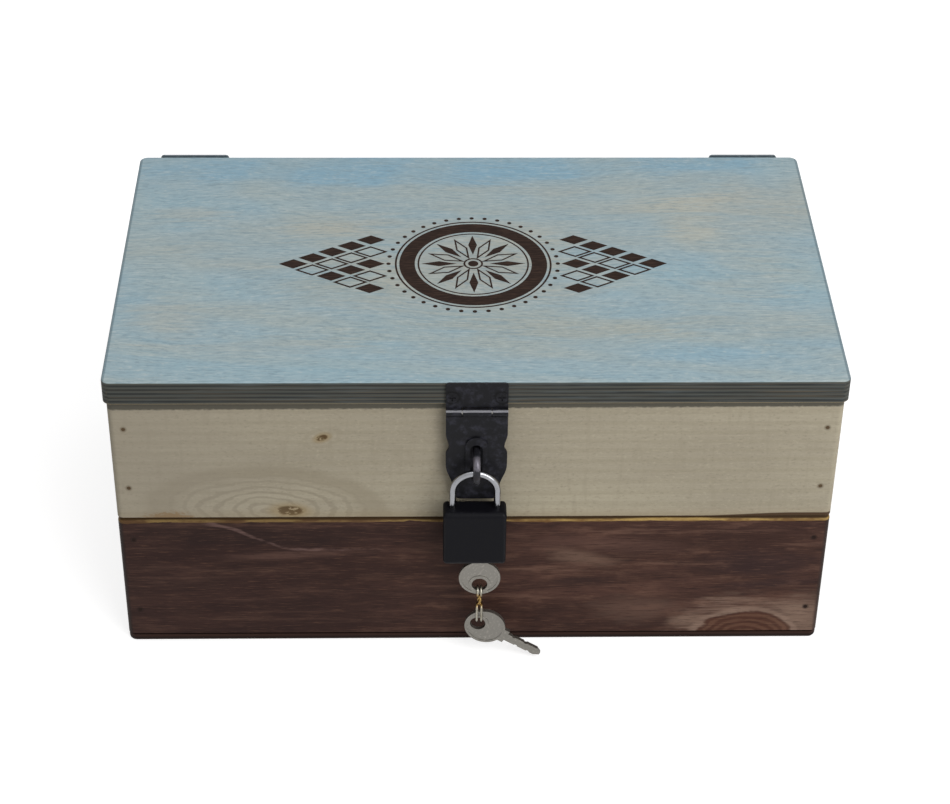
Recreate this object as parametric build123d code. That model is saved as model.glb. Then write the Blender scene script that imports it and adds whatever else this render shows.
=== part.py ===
from build123d import *
import os

# A lidded wooden keepsake box in two rows of boards, with a plywood lid on two butt hinges,
# a hasp and staple at the front, and a small padlock that carries two keys on a wire tie.
#
# Frame: millimetres, +X to the right, +Y to the back, +Z up. The origin is the centre of the
# face that the box stands on. The lid is shut and the hasp is locked.

# ----------------------------------------------------------------------------------------
# Driving sizes
# ----------------------------------------------------------------------------------------

# Carcass and lid
lid_length = 300.0
lid_depth = 175.0
lid_thickness = 10.5
lid_corner_radius = 3.5
lid_edge_round = 0.8
lid_side_overhang = 1.2
lid_front_overhang = 2.0
carcass_height = 128.7
seam_height = 68.0
board_thickness = 12.0
bottom_thickness = 3.6
carcass_corner_radius = 2.5
bottom_edge_round = 1.2
seam_chamfer = 2.0
seam_bevel = 0.5
foot_bevel = 0.6

# Headless pins that nail the boards and the bottom together
nail_radius = 0.8
board_nail_length = 30.0
bottom_nail_length = 15.0
nail_point_length = 1.5
nail_edge_distance = 14.2
nail_row_inset = 11.5
nail_clearance = 0.03
bottom_nail_spacing = 100.0
side_nail_spacing = 70.0

# Countersunk wood screws of the hinges and the hasp
screw_head_radius = 2.5
screw_shank_radius = 1.0
screw_head_depth = 1.2
screw_length = 9.0
screw_point_length = 2.0
screw_slot_width = 0.5
screw_slot_length = 3.0
screw_slot_depth = 0.45
screw_clearance = 0.04

# Butt hinges on the back
hinge_length = 31.0
hinge_inset = 9.2
hinge_leaf_height = 11.1
hinge_leaf_thickness = 1.0
hinge_knuckle_count = 5
hinge_knuckle_radius = 2.0
hinge_pin_radius = 1.0
hinge_pin_head_radius = 1.5
hinge_pin_head_length = 0.5
hinge_corner_radius = 1.5
hinge_screw_spacing = 19.0
knuckle_end_gap = 0.15

# Fits
pin_clearance = 0.05
swing_clearance = 0.3

# Hasp on the front edge of the lid
hasp_width = 25.0
hasp_thickness = 1.0
hasp_knuckle_radius = 1.7
hasp_pin_radius = 0.85
hasp_pin_drop = 3.2
hasp_centre_knuckle = 12.0
hasp_leaf_top_margin = 0.1
hasp_corner_radius = 1.2
hasp_screw_spacing = 20.0
hasp_screw_height = 6.6

# Hasp strap, measured down from its pin
strap_shoulder = 10.4
strap_waist_depth = 17.2
strap_waist_width = 22.6
strap_bump_depth = 20.8
strap_taper_depth = 25.9
strap_corner_depth = 34.0
strap_corner_width = 20.8
strap_tongue_width = 18.2
strap_tongue_round = 2.6
strap_length = 44.0
slot_width = 5.0
slot_top = 15.7
slot_bottom = 33.6
rim_width = 9.0
rim_margin = 3.7
rim_height = 0.9

# Staple
staple_bar_radius = 1.5
staple_reach = 13.7
staple_bend_radius = 3.2
staple_eye_drop = 28.9
staple_eye_height = 7.6
staple_plate_width = 22.0
staple_plate_margin = 1.2
staple_plate_thickness = 1.0
staple_plate_corner = 2.0
staple_screw_spacing = 15.0

# Padlock
shackle_wire_radius = 1.4
shackle_leg_spacing = 18.2
shackle_clear_height = 16.0
shackle_offset_x = -0.5
shackle_heel_depth = 21.0
shackle_toe_depth = 5.7
shackle_notch_radius = 0.9
shackle_notch_depth = 0.8
shackle_end_chamfer = 0.4
case_width = 26.0
case_height = 27.1
case_depth = 10.5
case_edge_round = 2.2
case_end_round = 1.6
case_bore_spare = 1.0
plug_offset_x = 2.4
plug_radius = 4.0
plug_face_radius = 3.5
plug_lip = 1.5
plug_length = 19.0
keyway_width = 5.0
keyway_gap = 2.0

# Keys, measured from the centre of the hole in the bow
key_thickness = 1.8
key_blade_thickness = 1.6
key_bow_radius = 8.7
key_bow_offset = 3.5
key_hole_radius = 3.3
key_neck_width = 6.8
key_shoulder = 13.9
key_blade_width = 3.8
key_blade_length = 16.7
key_tip_length = 2.2
key_tip_width = 1.2
key_rim_width = 1.0
key_hole_rim_width = 1.4
key_rim_relief = 0.2
key_groove_width = 0.9
key_groove_depth = 0.4
key_cut_count = 4
key_cut_pitch = 2.9
key_cut_radius = 0.9
key_cut_depth = 0.5
key_seat_gap = 0.3

# Wire tie between the keys
tie_wire_radius = 0.5
tie_strand_offset = 0.45
tie_ring_offset = 0.7
tie_ring_radius = 2.15
tie_eye_offset = 0.95
tie_eye_radius = 1.75
tie_twist_turns = 1.0
spare_hole_below = 21.9
spare_hole_left = 0.4
spare_droop = 29.0
spare_yaw = 6.5

# ----------------------------------------------------------------------------------------
# Sizes and places worked out from them
# ----------------------------------------------------------------------------------------
carcass_length = lid_length - 2 * lid_side_overhang
carcass_depth = lid_depth - lid_front_overhang
half_length = carcass_length / 2
half_depth = carcass_depth / 2
lid_top = carcass_height + lid_thickness
lid_front = -half_depth - lid_front_overhang

hinge_axis_y = half_depth + hinge_knuckle_radius + swing_clearance
hinge_axis_z = carcass_height
hinge_centre_x = lid_length / 2 - hinge_inset - hinge_length / 2

hasp_pin_y = lid_front - hasp_knuckle_radius
hasp_pin_z = carcass_height - hasp_pin_drop

staple_floor_z = hasp_pin_z - staple_eye_drop
staple_ceiling_z = staple_floor_z + staple_eye_height
staple_mid_z = (staple_floor_z + staple_ceiling_z) / 2
staple_front_y = -half_depth - staple_reach

shackle_y = staple_front_y + 2 * staple_bar_radius + swing_clearance + shackle_wire_radius
bow_inner_z = staple_floor_z + swing_clearance
bow_wire_z = bow_inner_z + shackle_wire_radius
case_top = bow_inner_z - shackle_clear_height
case_bottom = case_top - case_height
heel_x = shackle_offset_x - shackle_leg_spacing / 2
toe_x = shackle_offset_x + shackle_leg_spacing / 2
plug_x = shackle_offset_x + plug_offset_x

working_hole_z = case_bottom - key_seat_gap - key_shoulder
spare_hole_x = plug_x - spare_hole_left
spare_hole_z = working_hole_z - spare_hole_below

nail_x = half_length - board_thickness / 2
nail_heights = [
    carcass_height - nail_edge_distance,
    seam_height + nail_edge_distance + seam_chamfer,
    seam_height - nail_row_inset,
    bottom_thickness + nail_edge_distance,
]


# ----------------------------------------------------------------------------------------
# Helpers
# ----------------------------------------------------------------------------------------
def block(x_range, y_range, z_range):
    """A box between two limits on each axis."""
    sizes = [high - low for low, high in (x_range, y_range, z_range)]
    middles = [(high + low) / 2 for low, high in (x_range, y_range, z_range)]
    return Pos(*middles) * Box(*sizes)


def bar_along_x(radius, x_low, x_high, y, z):
    """A round bar that lies along X."""
    middle = (x_low + x_high) / 2
    return Pos(middle, y, z) * Rot(0, 90, 0) * Cylinder(radius, x_high - x_low)


def upright(radius, x, y, z_low, z_high):
    """A round bar that stands along Z."""
    return Pos(x, y, (z_low + z_high) / 2) * Cylinder(radius, z_high - z_low)


def turned(outline):
    """A turned piece about Z, from half of its section as radius and height pairs."""
    section = make_face(Plane.XZ * Polyline(*outline, close=True))
    return revolve(section, Axis.Z)


def pointing(point, direction):
    """The place of a fastener whose head faces along the direction, at the point."""
    return Plane(origin=point, z_dir=direction).location


def front_plane(x, y, z):
    """A drawing plane seen from the front: right is +X, up is +Z, extruding goes forwards."""
    return Plane(origin=(x, y, z), x_dir=(1, 0, 0), z_dir=(0, -1, 0))


def side_plane(x, y, z):
    """A drawing plane across X: its first axis is +Y and its second is +Z."""
    return Plane(origin=(x, y, z), x_dir=(0, 1, 0), z_dir=(1, 0, 0))


def swept_bar(path, radius):
    """A round bar along a path."""
    section = Plane(origin=path @ 0, z_dir=path % 0) * Circle(radius)
    return sweep(section, path=path)


def joined(pieces):
    """One group of separate solids."""
    return Compound(children=[piece.solid() for piece in pieces])


# ----------------------------------------------------------------------------------------
# Fasteners
# ----------------------------------------------------------------------------------------
def nail(length, spare=0.0):
    """A pin with its top at the origin; spare makes it the hole that it fills."""
    radius = nail_radius + spare
    return turned([
        (0, 0),
        (radius, 0),
        (radius, -length + nail_point_length),
        (0, -length - spare),
    ])


def screw_body(spare=0.0):
    """A countersunk wood screw with its head face at the origin."""
    head = screw_head_radius + spare
    shank = screw_shank_radius + spare
    return turned([
        (0, 0),
        (head, 0),
        (shank, -screw_head_depth - spare),
        (shank, -screw_length + screw_point_length),
        (0, -screw_length - spare),
    ])


def screw():
    """The screw with its crossed drive recess."""
    recess = Box(screw_slot_length, screw_slot_width, 2 * screw_slot_depth)
    recess += Box(screw_slot_width, screw_slot_length, 2 * screw_slot_depth)
    return screw_body() - recess


def board_nail_places():
    """Nails through the front and back boards into the ends of the side boards."""
    places = []
    for side, x in [(side, x) for side in (-1, 1) for x in (-nail_x, nail_x)]:
        for z in nail_heights:
            places.append(pointing((x, side * half_depth, z), (0, side, 0)))
    return places


def bottom_nail_places():
    """Nails up through the bottom panel into all four lower boards."""
    places = []
    for side in (-1, 1):
        for x in (-bottom_nail_spacing, 0, bottom_nail_spacing):
            y = side * (half_depth - board_thickness / 2)
            places.append(pointing((x, y, 0), (0, 0, -1)))
        for y in (-side_nail_spacing / 2, side_nail_spacing / 2):
            places.append(pointing((side * nail_x, y, 0), (0, 0, -1)))
    return places


def nail_holes():
    """Every nail hole of the carcass as one tool."""
    tools = [place * nail(board_nail_length, nail_clearance) for place in board_nail_places()]
    tools += [place * nail(bottom_nail_length, nail_clearance) for place in bottom_nail_places()]
    return tools


# ----------------------------------------------------------------------------------------
# Wood
# ----------------------------------------------------------------------------------------
def carcass_row(z_low, z_high, low_bevel, high_bevel):
    """The outer form of one row: round upright corners and bevelled outer edges."""
    outline = RectangleRounded(carcass_length, carcass_depth, carcass_corner_radius)
    row = Pos(0, 0, z_low) * extrude(outline, z_high - z_low)
    if low_bevel:
        row = chamfer(row.edges().group_by(Axis.Z)[0], low_bevel)
    if high_bevel:
        row = chamfer(row.edges().group_by(Axis.Z)[-1], high_bevel)
    return row


def row_boards(name, z_low, z_high, low_bevel, high_bevel, holes):
    """The four boards of a row: long ones in front and behind, short ones between them."""
    row = carcass_row(z_low, z_high, low_bevel, high_bevel)
    inner_x = half_length - board_thickness
    inner_y = half_depth - board_thickness
    cells = {
        "front": ((-half_length, half_length), (-half_depth, -inner_y)),
        "back": ((-half_length, half_length), (inner_y, half_depth)),
        "left": ((-half_length, -inner_x), (-inner_y, inner_y)),
        "right": ((inner_x, half_length), (-inner_y, inner_y)),
    }
    boards = {}
    for place, (x_range, y_range) in cells.items():
        board = row & block(x_range, y_range, (z_low, z_high))
        boards[f"{name}_{place}_board"] = board - holes
    return boards


def bottom_panel(holes):
    """A thin plywood panel under the boards, flush with them, with a rounded lower edge."""
    outline = RectangleRounded(carcass_length, carcass_depth, lid_corner_radius)
    panel = extrude(outline, bottom_thickness)
    panel = fillet(panel.edges().group_by(Axis.Z)[0], bottom_edge_round)
    return panel - holes


def lid_panel():
    """The plywood lid with round corners, eased edges and the holes of its screws."""
    outline = RectangleRounded(lid_length, lid_depth, lid_corner_radius)
    middle_y = (half_depth + lid_front) / 2
    panel = Pos(0, middle_y, carcass_height) * extrude(outline, lid_thickness)
    panel = fillet(panel.edges().group_by(Axis.Z)[-1], lid_edge_round)
    places = hinge_screw_places(True) + hasp_screw_places()
    return panel - [place * screw_body(screw_clearance) for place in places]


# ----------------------------------------------------------------------------------------
# Butt hinges
# ----------------------------------------------------------------------------------------
def knuckle_ranges():
    """The low and high end of each knuckle along the hinge."""
    pitch = hinge_length / hinge_knuckle_count
    starts = [-hinge_length / 2 + index * pitch for index in range(hinge_knuckle_count)]
    return [(start, start + pitch) for start in starts]


def hinge_leaf(upward, own_parity):
    """A leaf with its knuckles; the pin lies along X through the origin.

    The leaf lies behind the wood, at negative Y, and stands up or hangs down from the pin.
    """
    back = -hinge_knuckle_radius - swing_clearance
    height = hinge_leaf_height if upward else -hinge_leaf_height
    half = hinge_length / 2
    leaf = block((-half, half), (back, back + hinge_leaf_thickness), sorted((0, height)))
    corners = leaf.edges().filter_by(Axis.Y).sort_by(Axis.Z)
    leaf = fillet(corners[2:] if upward else corners[:2], hinge_corner_radius)
    for index, (low, high) in enumerate(knuckle_ranges()):
        if index % 2 == own_parity:
            ends = (low + knuckle_end_gap, high - knuckle_end_gap)
            leaf += bar_along_x(hinge_knuckle_radius, *ends, 0, 0)
        else:
            leaf -= bar_along_x(hinge_knuckle_radius + swing_clearance, low, high, 0, 0)
    fit = pin_clearance if upward else pin_clearance / 2
    leaf -= bar_along_x(hinge_pin_radius + fit, -half, half, 0, 0)
    for x, z in leaf_screw_points(upward):
        place = pointing((x, back + hinge_leaf_thickness, z), (0, 1, 0))
        leaf -= place * screw_body(screw_clearance)
    return leaf


def leaf_screw_points(upward):
    """Screw places of a leaf, from its pin."""
    middle = (hinge_leaf_height + hinge_knuckle_radius) / 2
    z = middle if upward else -middle
    return [(-hinge_screw_spacing / 2, z), (hinge_screw_spacing / 2, z)]


def hinge_pin():
    """The pin with a low head at each end, outside the knuckles."""
    half = hinge_length / 2
    pin = bar_along_x(hinge_pin_radius, -half, half, 0, 0)
    pin += bar_along_x(hinge_pin_head_radius, half, half + hinge_pin_head_length, 0, 0)
    pin += bar_along_x(hinge_pin_head_radius, -half - hinge_pin_head_length, -half, 0, 0)
    return pin


def hinge_place(side):
    """The place of the left (side -1) or right (side 1) hinge."""
    return Pos(side * hinge_centre_x, hinge_axis_y, hinge_axis_z)


def hinge_screw_places(upward):
    """The four screws of the lid leaves or of the carcass leaves."""
    places = []
    outer_face = half_depth + hinge_leaf_thickness
    for side in (-1, 1):
        for x, z in leaf_screw_points(upward):
            point = (side * hinge_centre_x + x, outer_face, hinge_axis_z + z)
            places.append(pointing(point, (0, 1, 0)))
    return places


# ----------------------------------------------------------------------------------------
# Hasp
# ----------------------------------------------------------------------------------------
def hasp_screw_places():
    """Two screws through the hasp leaf into the front edge of the lid."""
    z = hasp_pin_z + hasp_screw_height
    return [
        pointing((side * hasp_screw_spacing / 2, lid_front - hasp_thickness, z), (0, -1, 0))
        for side in (-1, 1)
    ]


def hasp_leaf():
    """The fixed leaf on the lid's edge, with the two outer knuckles."""
    half = hasp_width / 2
    centre = hasp_centre_knuckle / 2
    top = lid_top - hasp_leaf_top_margin
    leaf = block((-half, half), (lid_front - hasp_thickness, lid_front), (hasp_pin_z, top))
    leaf = fillet(leaf.edges().filter_by(Axis.Y).sort_by(Axis.Z)[2:], hasp_corner_radius)
    for low, high in ((-half, -centre - knuckle_end_gap), (centre + knuckle_end_gap, half)):
        leaf += bar_along_x(hasp_knuckle_radius, low, high, hasp_pin_y, hasp_pin_z)
    gap_end = centre + knuckle_end_gap
    relief = hasp_knuckle_radius + swing_clearance
    leaf -= bar_along_x(relief, -gap_end, gap_end, hasp_pin_y, hasp_pin_z)
    leaf -= bar_along_x(hasp_pin_radius + pin_clearance / 2, -half, half, hasp_pin_y, hasp_pin_z)
    return leaf - [place * screw_body(screw_clearance) for place in hasp_screw_places()]


def hasp_pin():
    """The hasp's pin, flush with the ends of the outer knuckles."""
    return bar_along_x(hasp_pin_radius, -hasp_width / 2, hasp_width / 2, hasp_pin_y, hasp_pin_z)


def strap_sketch():
    """The strap's outline below its pin: a waist, a bump, a taper and a blunt tongue."""
    half = hasp_width / 2
    waist = strap_waist_width / 2
    corner = strap_corner_width / 2
    tongue = strap_tongue_width / 2
    relief = hasp_knuckle_radius + swing_clearance
    tongue_top = strap_length - strap_tongue_round
    flat = tongue - strap_tongue_round
    down = (0, -1)
    side = Line((half, -relief), (half, -strap_shoulder))
    side += Spline((half, -strap_shoulder), (waist, -strap_waist_depth), tangents=[down, down])
    side += Spline((waist, -strap_waist_depth), (half, -strap_bump_depth), tangents=[down, down])
    side += Line((half, -strap_bump_depth), (half, -strap_taper_depth))
    side += Spline((half, -strap_taper_depth), (corner, -strap_corner_depth),
                   (tongue, -tongue_top), tangents=[down, down])
    side += RadiusArc((tongue, -tongue_top), (flat, -strap_length), strap_tongue_round)
    outline = side + mirror(side, Plane.YZ)
    outline += Line((-flat, -strap_length), (flat, -strap_length))
    return make_face(outline + Line((-half, -relief), (half, -relief)))


def hasp_strap():
    """The swinging strap, with a pressed-up rim round its slot and the middle knuckle."""
    face_y = hasp_pin_y + hasp_thickness / 2
    slot_middle = -(slot_top + slot_bottom) / 2
    slot_height = slot_bottom - slot_top
    rim_length = slot_height + 2 * rim_margin
    rim_face = hasp_thickness + rim_height
    centre = hasp_centre_knuckle / 2 - knuckle_end_gap

    strap = front_plane(0, face_y, hasp_pin_z) * extrude(strap_sketch(), hasp_thickness)
    neck_low = hasp_pin_z - 2 * hasp_knuckle_radius
    strap += block((-centre, centre), (face_y - hasp_thickness, face_y), (neck_low, hasp_pin_z))
    strap += bar_along_x(hasp_knuckle_radius, -centre, centre, hasp_pin_y, hasp_pin_z)
    rim = SlotOverall(rim_length, rim_width, rotation=90)
    hollow = offset(rim, -hasp_thickness)
    slot = SlotOverall(slot_height, slot_width, rotation=90)
    at_rim = front_plane(0, face_y, hasp_pin_z + slot_middle)
    strap += at_rim * extrude(rim, rim_face)
    strap -= at_rim * extrude(hollow, rim_height)
    strap -= at_rim * extrude(slot, 2 * rim_face)
    bore = hasp_pin_radius + pin_clearance
    return strap - bar_along_x(bore, -centre, centre, hasp_pin_y, hasp_pin_z)


def staple_screw_places():
    """Two screws through the staple plate into the upper front board."""
    face_y = -half_depth - staple_plate_thickness
    return [
        pointing((side * staple_screw_spacing / 2, face_y, staple_mid_z), (0, -1, 0))
        for side in (-1, 1)
    ]


def staple_leg_heights():
    """The middle height of the lower and the upper leg of the staple."""
    return staple_floor_z - staple_bar_radius, staple_ceiling_z + staple_bar_radius


def staple_plate():
    """The plate under the staple, with two screw holes and the holes of the staple's legs."""
    low, high = staple_leg_heights()
    margin = staple_bar_radius + staple_plate_margin
    outline = RectangleRounded(staple_plate_width, high - low + 2 * margin, staple_plate_corner)
    plate = front_plane(0, -half_depth, staple_mid_z) * extrude(outline, staple_plate_thickness)
    plate -= [place * screw_body(screw_clearance) for place in staple_screw_places()]
    for z in (low, high):
        hole = front_plane(0, -half_depth, z) * Circle(staple_bar_radius + nail_clearance)
        plate -= extrude(hole, staple_plate_thickness)
    return plate


def staple_loop():
    """A round bar bent to a U that stands out of the plate, riveted flush behind it."""
    low, high = staple_leg_heights()
    front = staple_front_y + staple_bar_radius
    corners = [(-half_depth, low), (front, low), (front, high), (-half_depth, high)]
    path = side_plane(0, 0, 0) * FilletPolyline(*corners, radius=staple_bend_radius)
    return swept_bar(path, staple_bar_radius)


# ----------------------------------------------------------------------------------------
# Padlock
# ----------------------------------------------------------------------------------------
def padlock_shackle():
    """The bow with a long heel leg and a short toe leg, notched for the latch."""
    radius = shackle_leg_spacing / 2
    shoulder_z = bow_wire_z - radius
    heel_end = case_top - shackle_heel_depth
    toe_end = case_top - shackle_toe_depth
    path = Line((heel_x, heel_end), (heel_x, shoulder_z))
    path += ThreePointArc((heel_x, shoulder_z), (shackle_offset_x, bow_wire_z), (toe_x, shoulder_z))
    path += Line((toe_x, shoulder_z), (toe_x, toe_end))
    path = front_plane(0, shackle_y, 0) * path
    shackle = swept_bar(path, shackle_wire_radius)
    tips = [(heel_x, shackle_y, heel_end), (toe_x, shackle_y, toe_end)]
    round_edges = shackle.edges().filter_by(GeomType.CIRCLE)
    rings = [round_edges.sort_by_distance(tip)[0] for tip in tips]
    shackle = chamfer(rings, shackle_end_chamfer)
    notch_x = toe_x - shackle_wire_radius - shackle_notch_radius + shackle_notch_depth
    notch_z = (case_top + toe_end) / 2
    notch = Pos(notch_x, shackle_y, notch_z) * Rot(90, 0, 0) * Cylinder(
        shackle_notch_radius, 4 * shackle_wire_radius)
    return shackle - notch


def padlock_case():
    """The case: long edges rounded, bores for the legs, and a lipped bore for the plug."""
    section = RectangleRounded(case_depth, case_height, case_edge_round)
    middle_z = (case_top + case_bottom) / 2
    left = shackle_offset_x - case_width / 2
    case = extrude(side_plane(left, shackle_y, middle_z) * section, case_width)
    ends = case.faces().filter_by(Axis.X)
    case = fillet(ends.edges(), case_end_round)
    bore = shackle_wire_radius + pin_clearance
    for x, depth in ((heel_x, shackle_heel_depth), (toe_x, shackle_toe_depth)):
        low = case_top - depth - case_bore_spare
        case -= upright(bore, x, shackle_y, low, case_top + case_bore_spare)
    inner_top = case_bottom + plug_length + pin_clearance
    lip_top = case_bottom + plug_lip
    case -= upright(plug_radius + pin_clearance, plug_x, shackle_y, lip_top - pin_clearance, inner_top)
    mouth = plug_face_radius + pin_clearance
    case -= upright(mouth, plug_x, shackle_y, case_bottom - plug_lip, lip_top)
    return case


def lock_plug():
    """The turning plug, held behind the lip of the case, with the keyway through its face."""
    lip_top = case_bottom + plug_lip
    top = case_bottom + plug_length
    plug = upright(plug_radius, plug_x, shackle_y, lip_top, top)
    plug += upright(plug_face_radius, plug_x, shackle_y, case_bottom, lip_top)
    half_width = keyway_width / 2
    half_gap = keyway_gap / 2
    blade_tip = working_hole_z + key_shoulder + key_blade_length
    keyway = block(
        (plug_x - half_width, plug_x + half_width),
        (shackle_y - half_gap, shackle_y + half_gap),
        (case_bottom - plug_lip, blade_tip + key_seat_gap),
    )
    return plug - keyway


# ----------------------------------------------------------------------------------------
# Keys and their wire tie
# ----------------------------------------------------------------------------------------
def key():
    """A flat key about the centre of its hole; the blade points up and the flats face Y."""
    half_blade = key_blade_width / 2
    half_neck = key_neck_width / 2
    half_tip = key_tip_width / 2
    tip = key_shoulder + key_blade_length
    tip_start = tip - key_tip_length
    flat = Plane.XZ.offset(-key_thickness / 2)
    blade_flat = Plane.XZ.offset(-key_blade_thickness / 2)

    bow = Pos(0, key_bow_offset) * Circle(key_bow_radius)
    neck_length = key_shoulder - key_bow_offset
    neck = Pos(0, key_bow_offset + neck_length / 2) * Rectangle(2 * half_neck, neck_length)
    head = bow + neck - Circle(key_hole_radius)
    blade = Polyline(
        (-half_blade, key_shoulder),
        (-half_blade, tip_start),
        (-half_tip, tip),
        (half_tip, tip),
        (half_blade, tip_start),
        (half_blade, key_shoulder),
        close=True,
    )
    body = extrude(flat * head, key_thickness)
    body += extrude(blade_flat * make_face(blade), key_blade_thickness)

    dish = Pos(0, key_bow_offset) * Circle(key_bow_radius - key_rim_width)
    dish -= Circle(key_hole_radius + key_hole_rim_width)
    half_thickness = key_thickness / 2
    for face_y, direction in ((-half_thickness, 1), (half_thickness, -1)):
        dish_plane = Plane(origin=(0, face_y, 0), x_dir=(1, 0, 0), z_dir=(0, -1, 0))
        body -= extrude(dish_plane * dish, -direction * key_rim_relief)
    groove_y = key_blade_thickness / 2 - key_groove_depth
    half_groove = key_groove_width / 2
    groove_end = tip + key_tip_length
    body -= block((-half_groove, half_groove), (groove_y, key_thickness), (key_shoulder, groove_end))
    for index in range(key_cut_count):
        side = 1 if index % 2 else -1
        z = key_shoulder + key_cut_pitch * (index + 1)
        cut_x = side * (half_blade + key_cut_radius - key_cut_depth)
        body -= Pos(cut_x, 0, z) * Rot(90, 0, 0) * Cylinder(key_cut_radius, 2 * key_thickness)
    return body


def working_key():
    """The key in the lock, blade up."""
    return Pos(plug_x, shackle_y, working_hole_z) * key()


def spare_key():
    """The key on the tie, its blade drooping to the right and a little forwards."""
    hole = Pos(spare_hole_x, shackle_y, spare_hole_z)
    return hole * Rot(0, 0, -spare_yaw) * Rot(0, 90 + spare_droop, 0) * key()


def key_wire():
    """The wire tie: two turns round the upper bow, a twisted neck and two through the spare."""
    bow_foot = working_hole_z + key_bow_offset - key_bow_radius
    ring_z = (bow_foot + working_hole_z - key_hole_radius) / 2
    ring = Rot(0, 90, 0) * Torus(tie_ring_radius, tie_wire_radius)

    eye_low = spare_hole_z + key_hole_radius
    eye_high = spare_hole_z + key_bow_radius - tie_wire_radius + swing_clearance
    eye_path = SlotCenterToCenter(eye_high - eye_low, 2 * tie_eye_radius, rotation=90)
    eye = swept_bar((side_plane(0, 0, 0) * eye_path).wires()[0], tie_wire_radius)

    turns = []
    for side in (-1, 1):
        turns.append(Pos(plug_x + side * tie_ring_offset, shackle_y, ring_z) * ring)
        middle_z = (eye_low + eye_high) / 2
        turns.append(Pos(plug_x + side * tie_eye_offset, shackle_y, middle_z) * eye)

    twist_top = ring_z - tie_ring_radius + tie_wire_radius / 2
    twist_low = eye_high + tie_eye_radius - tie_wire_radius / 2
    strands = Pos(tie_strand_offset, 0) * Circle(tie_wire_radius)
    strands += Pos(-tie_strand_offset, 0) * Circle(tie_wire_radius)
    foot = Vector(plug_x, shackle_y, twist_low)
    section = (Pos(foot) * strands).face()
    rise = Vector(0, 0, twist_top - twist_low)
    twist = Solid.extrude_linear_with_rotation(section, foot, rise, 360 * tie_twist_turns)
    return twist + turns


# ----------------------------------------------------------------------------------------
# All the pieces
# ----------------------------------------------------------------------------------------
def build_parts():
    """Every node of the box by name."""
    holes = nail_holes()
    carcass_screws = [place * screw_body(screw_clearance) for place in hinge_screw_places(False)]
    staple_screws = [place * screw_body(screw_clearance) for place in staple_screw_places()]
    parts = {"bottom_panel": bottom_panel(holes)}
    parts.update(row_boards("lower", bottom_thickness, seam_height, foot_bevel, seam_chamfer, holes))
    parts.update(row_boards("upper", seam_height, carcass_height, seam_bevel, 0, holes))
    parts["upper_back_board"] -= carcass_screws
    parts["upper_front_board"] -= staple_screws
    parts["lid_panel"] = lid_panel()

    parts["board_nails"] = joined([place * nail(board_nail_length) for place in board_nail_places()])
    parts["bottom_nails"] = joined([place * nail(bottom_nail_length) for place in bottom_nail_places()])

    for side, name in ((-1, "left"), (1, "right")):
        place = hinge_place(side)
        parts[f"{name}_hinge_lid_leaf"] = place * hinge_leaf(True, 1)
        parts[f"{name}_hinge_box_leaf"] = place * hinge_leaf(False, 0)
        parts[f"{name}_hinge_pin"] = place * hinge_pin()
    parts["hinge_lid_screws"] = joined([place * screw() for place in hinge_screw_places(True)])
    parts["hinge_box_screws"] = joined([place * screw() for place in hinge_screw_places(False)])

    parts["hasp_leaf"] = hasp_leaf()
    parts["hasp_pin"] = hasp_pin()
    parts["hasp_strap"] = hasp_strap()
    parts["hasp_leaf_screws"] = joined([place * screw() for place in hasp_screw_places()])
    parts["staple_plate"] = staple_plate()
    parts["staple_loop"] = staple_loop()
    parts["staple_screws"] = joined([place * screw() for place in staple_screw_places()])

    parts["padlock_shackle"] = padlock_shackle()
    parts["padlock_case"] = padlock_case()
    parts["lock_plug"] = lock_plug()
    parts["working_key"] = working_key()
    parts["spare_key"] = spare_key()
    parts["key_wire"] = key_wire()
    return parts


os.makedirs("parts", exist_ok=True)
for node, shape in build_parts().items():
    shape.label = node
    export_step(shape, f"parts/{node}.step")
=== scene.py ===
# %% [markdown]
# # A keepsake box in stained wood
#
# The box has two rows of boards, a plywood lid, two butt hinges, a hasp with its staple, and
# a small padlock that carries two keys on a wire tie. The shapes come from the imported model.
# This lesson gives every piece its finish, and adds what a CAD part leaves out: the design
# that is burnt into the lid.

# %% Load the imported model
import math

import bpy
from mathutils import Matrix, Vector


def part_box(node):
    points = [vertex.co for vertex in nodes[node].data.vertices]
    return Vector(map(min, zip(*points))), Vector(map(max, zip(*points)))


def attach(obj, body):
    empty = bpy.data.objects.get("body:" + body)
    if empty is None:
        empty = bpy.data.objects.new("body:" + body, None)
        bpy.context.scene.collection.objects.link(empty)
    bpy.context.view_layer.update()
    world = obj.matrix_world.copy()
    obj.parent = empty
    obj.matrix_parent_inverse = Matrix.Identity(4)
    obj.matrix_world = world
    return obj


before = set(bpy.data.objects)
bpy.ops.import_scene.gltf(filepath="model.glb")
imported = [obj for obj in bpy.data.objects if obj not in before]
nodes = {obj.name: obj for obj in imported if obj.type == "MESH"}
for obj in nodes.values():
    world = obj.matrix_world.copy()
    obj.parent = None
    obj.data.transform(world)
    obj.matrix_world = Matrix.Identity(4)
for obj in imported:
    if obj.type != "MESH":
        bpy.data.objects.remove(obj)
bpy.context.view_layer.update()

# %% [markdown]
# ## The sizes that the finishes and the new pieces share
#
# Blender works in metres, so a size in millimetres is multiplied by MM. The heights of the
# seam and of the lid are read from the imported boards, so nothing here repeats the model. Each
# board has an upper and a lower nail at each end, measured from its top and from its foot.

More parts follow.
